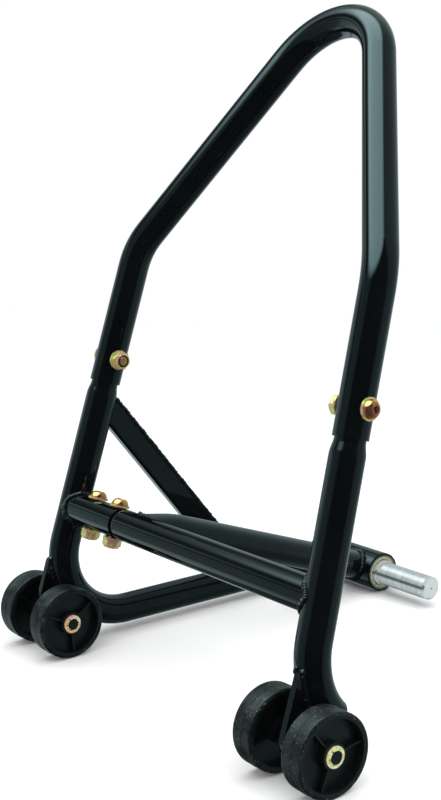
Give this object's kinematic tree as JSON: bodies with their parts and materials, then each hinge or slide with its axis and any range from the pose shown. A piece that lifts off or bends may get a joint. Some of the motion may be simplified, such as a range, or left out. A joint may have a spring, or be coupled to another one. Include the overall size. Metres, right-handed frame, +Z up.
{
  "type": "paddock stand",
  "caption": "Rear paddock stand for a single-sided swingarm: a wheeled tube frame with a hoop handle and a turning lift pin that enters the hollow wheel axle.",
  "frame": {"origin": "on the floor, midway between the left and right wheels and midway between the front of the wheels and the back of the pin housing", "axes": "+Z up, +X to the stand's right along the wheel axles and along the lift pin towards its free end, +Y from the wheels back to the lift pin"},
  "size_m": [0.518, 0.437, 0.6504],
  "materials": {
    "gloss_black_paint": "gloss",
    "black_plastic": "satin",
    "hub_plastic": "satin",
    "tyre_rubber": "matte",
    "yellow_zinc": "iridescent passivated",
    "bright_steel": "turned",
    "nylon": "satin"
  },
  "bodies": {
    "frame": {"axle_retainers": "yellow_zinc", "bearing_end_rings": "yellow_zinc", "bearing_outer_rings": "bright_steel", "brace_tube": "gloss_black_paint", "cross_bolts": "yellow_zinc", "cross_flat_washers": "yellow_zinc", "cross_nut_inserts": "nylon", "cross_nuts": "yellow_zinc", "cross_sleeve": "gloss_black_paint", "cross_tube": "gloss_black_paint", "hoop_bolts": "yellow_zinc", "hoop_flat_washers": "yellow_zinc", "hoop_handle": "gloss_black_paint", "hoop_nut_inserts": "nylon", "hoop_nuts": "yellow_zinc", "housing_end_cap": "black_plastic", "left_axle": "gloss_black_paint", "left_leg": "gloss_black_paint", "left_wheel_bracket": "gloss_black_paint", "leg_end_plug": "black_plastic", "pin_housing": "gloss_black_paint", "right_axle": "gloss_black_paint", "right_leg": "gloss_black_paint", "right_wheel_bracket": "gloss_black_paint", "stay_tube": "gloss_black_paint", "wheel_spacers": "gloss_black_paint"},
    "left_outer_wheel": {"left_outer_hub": "hub_plastic", "left_outer_tyre": "tyre_rubber"},
    "left_inner_wheel": {"left_inner_hub": "hub_plastic", "left_inner_tyre": "tyre_rubber"},
    "right_inner_wheel": {"right_inner_hub": "hub_plastic", "right_inner_tyre": "tyre_rubber"},
    "right_outer_wheel": {"right_outer_hub": "hub_plastic", "right_outer_tyre": "tyre_rubber"},
    "lift_pin_body": {"lift_pin": "bright_steel", "pin_circlips": "bright_steel", "bearing_rollers": "bright_steel"}
  },
  "joints": [
    {"name": "left_outer_wheel_spin", "type": "hinge", "parent": "frame", "child": "left_outer_wheel", "pos_m": [-0.244, -0.181, 0.0375], "axis": [1, 0, 0], "continuous": true},
    {"name": "left_inner_wheel_spin", "type": "hinge", "parent": "frame", "child": "left_inner_wheel", "pos_m": [-0.178, -0.181, 0.0375], "axis": [1, 0, 0], "continuous": true},
    {"name": "right_inner_wheel_spin", "type": "hinge", "parent": "frame", "child": "right_inner_wheel", "pos_m": [0.178, -0.181, 0.0375], "axis": [1, 0, 0], "continuous": true},
    {"name": "right_outer_wheel_spin", "type": "hinge", "parent": "frame", "child": "right_outer_wheel", "pos_m": [0.244, -0.181, 0.0375], "axis": [1, 0, 0], "continuous": true},
    {"name": "lift_pin_spin", "type": "hinge", "parent": "frame", "child": "lift_pin_body", "pos_m": [-0.157, 0.196, 0.0225], "axis": [1, 0, 0], "continuous": true}
  ]
}
